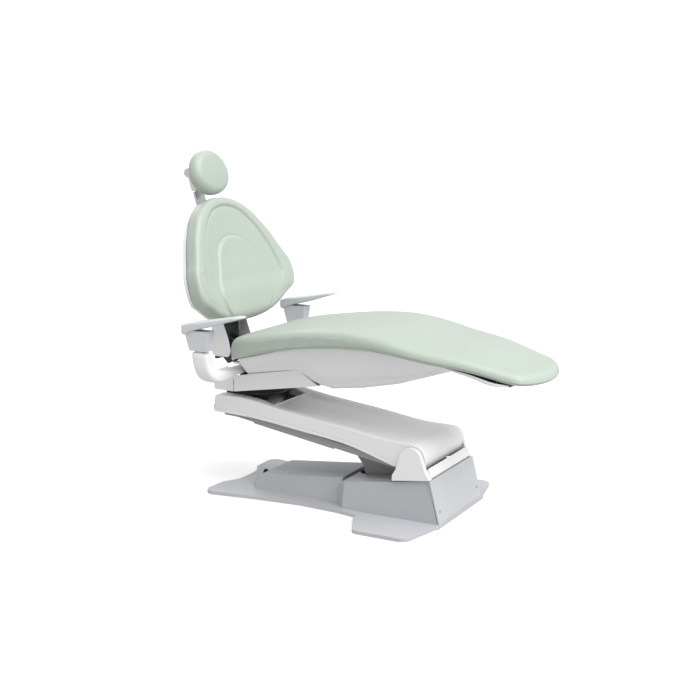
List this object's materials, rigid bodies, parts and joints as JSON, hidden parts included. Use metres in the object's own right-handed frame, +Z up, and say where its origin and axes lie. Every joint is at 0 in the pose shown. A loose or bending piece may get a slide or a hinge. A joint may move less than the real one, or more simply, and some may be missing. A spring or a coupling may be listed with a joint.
{
  "type": "dental chair",
  "caption": "Dental patient chair: floor base with covers, parallel lift arm, swivel turret, tilting padded seat, reclining back, sliding headrest and swing-out armrests.",
  "frame": {"origin": "on the floor, under the floor plate, in the chair's middle plane", "axes": "+X towards the toes, +Y the patient's left, +Z up"},
  "size_m": [1.3539, 0.69, 1.1665],
  "materials": {
    "floor_plate": "satin powder coat",
    "steel": "ground",
    "black_steel": "black powder coat",
    "base_cover": "fine moulded grain",
    "end_cover": "fine moulded grain",
    "white_plastic": "satin",
    "white_casting": "satin powder coat",
    "grey_plastic": "fine moulded grain",
    "link_paint": "satin paint",
    "black_rubber": "matt",
    "bronze": "turned",
    "control_paint": "satin",
    "black_knob": "fine grain",
    "vinyl": "soft satin vinyl"
  },
  "bodies": {
    "base": {"base_plate": "floor_plate", "levelling_screws": "steel", "pivot_bracket": "black_steel", "lift_pivot_pin": "steel", "link_pivot_pin": "steel", "cylinder_base_pin": "steel", "hydraulic_pump": "link_paint", "control_box": "control_paint", "rear_cover": "base_cover", "front_cover": "base_cover", "front_end_cover": "end_cover", "arm_hood": "white_plastic", "cover_screws": "steel", "cable_gland": "black_rubber"},
    "lift_arm": {"arm_frame": "black_steel", "arm_cover": "white_plastic", "arm_shroud": "grey_plastic", "arm_bushes": "bronze", "head_pivot_pin": "steel", "cylinder_arm_pin": "steel"},
    "link": {"parallel_link": "link_paint"},
    "barrel": {"lift_barrel": "link_paint"},
    "rod": {"lift_rod": "steel"},
    "turret": {"turret_head": "black_steel", "turret_bearing": "steel", "turret_gasket": "black_rubber", "link_head_pin": "steel"},
    "hub": {"hub_plate": "black_steel", "turntable_ring": "black_rubber", "hub_cover": "white_plastic", "hub_rear_cover": "white_plastic", "armrest_bracket_right": "white_casting", "armrest_bracket_left": "white_casting", "armrest_pins": "steel", "seat_hinge_pin": "steel"},
    "brake": {"brake_lever": "black_knob"},
    "seat": {"seat_frame": "black_steel", "seat_shell": "white_plastic", "legrest_panel": "white_plastic", "seat_cushion": "vinyl", "back_hinge_pin": "steel", "back_actuator": "link_paint"},
    "back_drive": {"back_rod": "steel"},
    "tilt_body": {"tilt_barrel": "link_paint"},
    "tilt_ram": {"tilt_rod": "steel"},
    "back": {"back_plate": "black_steel", "back_support_cover": "white_plastic", "back_shell": "white_plastic", "back_cushion": "vinyl", "headrest_guide": "black_steel", "crank_pin": "steel"},
    "glide": {"glide_bar": "steel"},
    "head_joint": {"headrest_link": "white_plastic"},
    "headrest": {"headrest_shell": "white_plastic", "headrest_cushion": "vinyl"},
    "knob": {"headrest_knob": "grey_plastic"},
    "armrest_right": {"armrest_post_right": "grey_plastic", "armrest_pad_right": "grey_plastic"},
    "armrest_left": {"armrest_post_left": "grey_plastic", "armrest_pad_left": "grey_plastic"}
  },
  "joints": [
    {"name": "lift", "type": "hinge", "parent": "base", "child": "lift_arm", "pos_m": [0.268, 0, 0.204], "axis": [0, 1, 0], "range_deg": [-12, 19]},
    {"name": "link_swing", "type": "hinge", "parent": "base", "child": "link", "pos_m": [0.268, 0, 0.166], "axis": [0, 1, 0], "range_deg": [-12.5, 19.5]},
    {"name": "head_level", "type": "hinge", "parent": "lift_arm", "child": "turret", "pos_m": [-0.44, 0, 0.316], "axis": [0, 1, 0], "range_deg": [-19.5, 12.5]},
    {"name": "cylinder_swing", "type": "hinge", "parent": "base", "child": "barrel", "pos_m": [0.15, 0, 0.042], "axis": [0, 1, 0], "range_deg": [-7.6, 12]},
    {"name": "rod_travel", "type": "slide", "parent": "barrel", "child": "rod", "axis": [-0.4856, 0, 0.8742], "range_m": [-0.038, 0.06]},
    {"name": "chair_rotation", "type": "hinge", "parent": "turret", "child": "hub", "pos_m": [-0.385, 0, 0.356], "axis": [0, 0, 1], "range_deg": [-30, 30]},
    {"name": "brake_pull", "type": "hinge", "parent": "hub", "child": "brake", "pos_m": [-0.25, 0.13, 0.398], "axis": [0, -1, 0], "range_deg": [0, 15]},
    {"name": "seat_tilt", "type": "hinge", "parent": "hub", "child": "seat", "pos_m": [-0.33, 0, 0.44], "axis": [0, -1, 0], "range_deg": [0, 10]},
    {"name": "tilt_swing", "type": "hinge", "parent": "hub", "child": "tilt_body", "pos_m": [-0.3, 0, 0.395], "axis": [0, -1, 0], "range_deg": [-0.2, 10.2]},
    {"name": "tilt_travel", "type": "slide", "parent": "tilt_body", "child": "tilt_ram", "axis": [0.8682, 0, 0.4961], "range_m": [-0.0005, 0.01]},
    {"name": "back_recline", "type": "hinge", "parent": "seat", "child": "back", "pos_m": [-0.45, 0, 0.48], "axis": [0, -1, 0], "range_deg": [-3, 72]},
    {"name": "back_travel", "type": "slide", "parent": "seat", "child": "back_drive", "axis": [1, 0, 0], "range_m": [-0.0026, 0.0594]},
    {"name": "headrest_slide", "type": "slide", "parent": "back", "child": "glide", "axis": [-0.2756, 0, 0.9613], "range_m": [0, 0.11]},
    {"name": "headrest_lower_tilt", "type": "hinge", "parent": "glide", "child": "head_joint", "pos_m": [-0.63873, 0, 1.02731], "axis": [0, -1, 0], "range_deg": [0, 30]},
    {"name": "headrest_upper_tilt", "type": "hinge", "parent": "head_joint", "child": "headrest", "pos_m": [-0.65389, 0, 1.08018], "axis": [0, -1, 0], "range_deg": [-5, 40]},
    {"name": "knob_turn", "type": "hinge", "parent": "headrest", "child": "knob", "pos_m": [-0.65389, 0, 1.08018], "axis": [0, 1, 0], "range_deg": [-45, 45]},
    {"name": "armrest_swing_right", "type": "hinge", "parent": "hub", "child": "armrest_right", "pos_m": [-0.42, -0.31, 0.519], "axis": [0, 0, -1], "range_deg": [0, 90]},
    {"name": "armrest_swing_left", "type": "hinge", "parent": "hub", "child": "armrest_left", "pos_m": [-0.42, 0.31, 0.519], "axis": [0, 0, 1], "range_deg": [0, 90]}
  ],
  "couplings": [
    {"joint": "link_swing", "follows": "lift", "ratio": 1},
    {"joint": "head_level", "follows": "lift", "ratio": -1},
    {"joint": "cylinder_swing", "follows": "lift", "ratio": 0.617},
    {"joint": "rod_travel", "follows": "lift", "m_per_rad": 0.1774},
    {"joint": "tilt_swing", "follows": "seat_tilt", "ratio": 1},
    {"joint": "tilt_travel", "follows": "seat_tilt", "m_per_rad": 0.054},
    {"joint": "back_travel", "follows": "back_recline", "m_per_rad": 0.0467}
  ]
}
